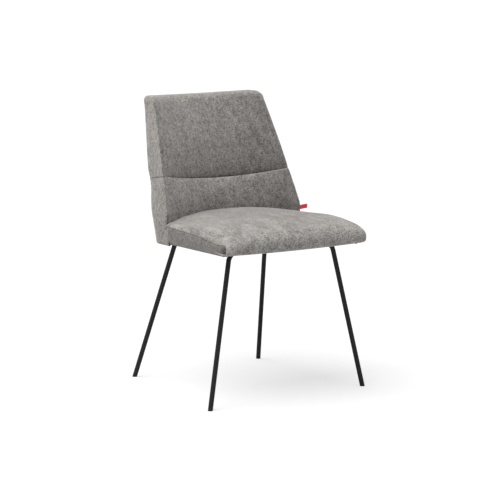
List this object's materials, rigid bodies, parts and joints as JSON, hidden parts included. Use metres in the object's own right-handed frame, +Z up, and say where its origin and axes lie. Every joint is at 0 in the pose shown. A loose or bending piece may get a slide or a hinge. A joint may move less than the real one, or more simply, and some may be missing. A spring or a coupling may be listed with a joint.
{
  "type": "dining chair",
  "caption": "Upholstered dining chair with a winged, seamed back, a padded seat and splayed black tube legs.",
  "frame": {"origin": "on the floor under the middle of the whole chair", "axes": "+Z up, the seat faces -Y, X runs across the chair"},
  "size_m": [0.5474, 0.5642, 0.848],
  "materials": {
    "seat_fabric": "mottled warm grey chenille",
    "back_fabric": "mottled warm grey chenille",
    "label": "woven satin ribbon",
    "dust_cloth": "black non-woven",
    "wadding": "white polyester wadding",
    "foam": "open-cell foam",
    "plywood": "raw birch plywood",
    "frame_paint": "satin black powder coat",
    "zinc_steel": "zinc plated",
    "glide_plastic": "matt black"
  },
  "bodies": {
    "root": {"back_bracket_left": "zinc_steel", "back_bracket_right": "zinc_steel", "back_foam_lower": "foam", "back_foam_upper": "foam", "back_lower_cover": "back_fabric", "back_rear_cover": "back_fabric", "back_shell": "plywood", "back_upper_cover": "back_fabric", "bracket_bolts": "zinc_steel", "bracket_screws": "zinc_steel", "dust_cloth": "dust_cloth", "frame_bolts": "zinc_steel", "frame_washers": "zinc_steel", "front_leg_frame": "frame_paint", "glide_front_left": "glide_plastic", "glide_front_right": "glide_plastic", "glide_rear_left": "glide_plastic", "glide_rear_right": "glide_plastic", "label_tab": "label", "rail_left": "frame_paint", "rail_right": "frame_paint", "rear_leg_frame": "frame_paint", "rear_wadding": "wadding", "seat_base": "plywood", "seat_foam": "foam", "seat_side_left": "seat_fabric", "seat_side_right": "seat_fabric", "seat_top_cover": "seat_fabric", "staples": "zinc_steel", "tee_nuts": "zinc_steel", "weld_beads": "frame_paint", "wing_cover_left": "back_fabric", "wing_cover_right": "back_fabric"}
  },
  "joints": []
}
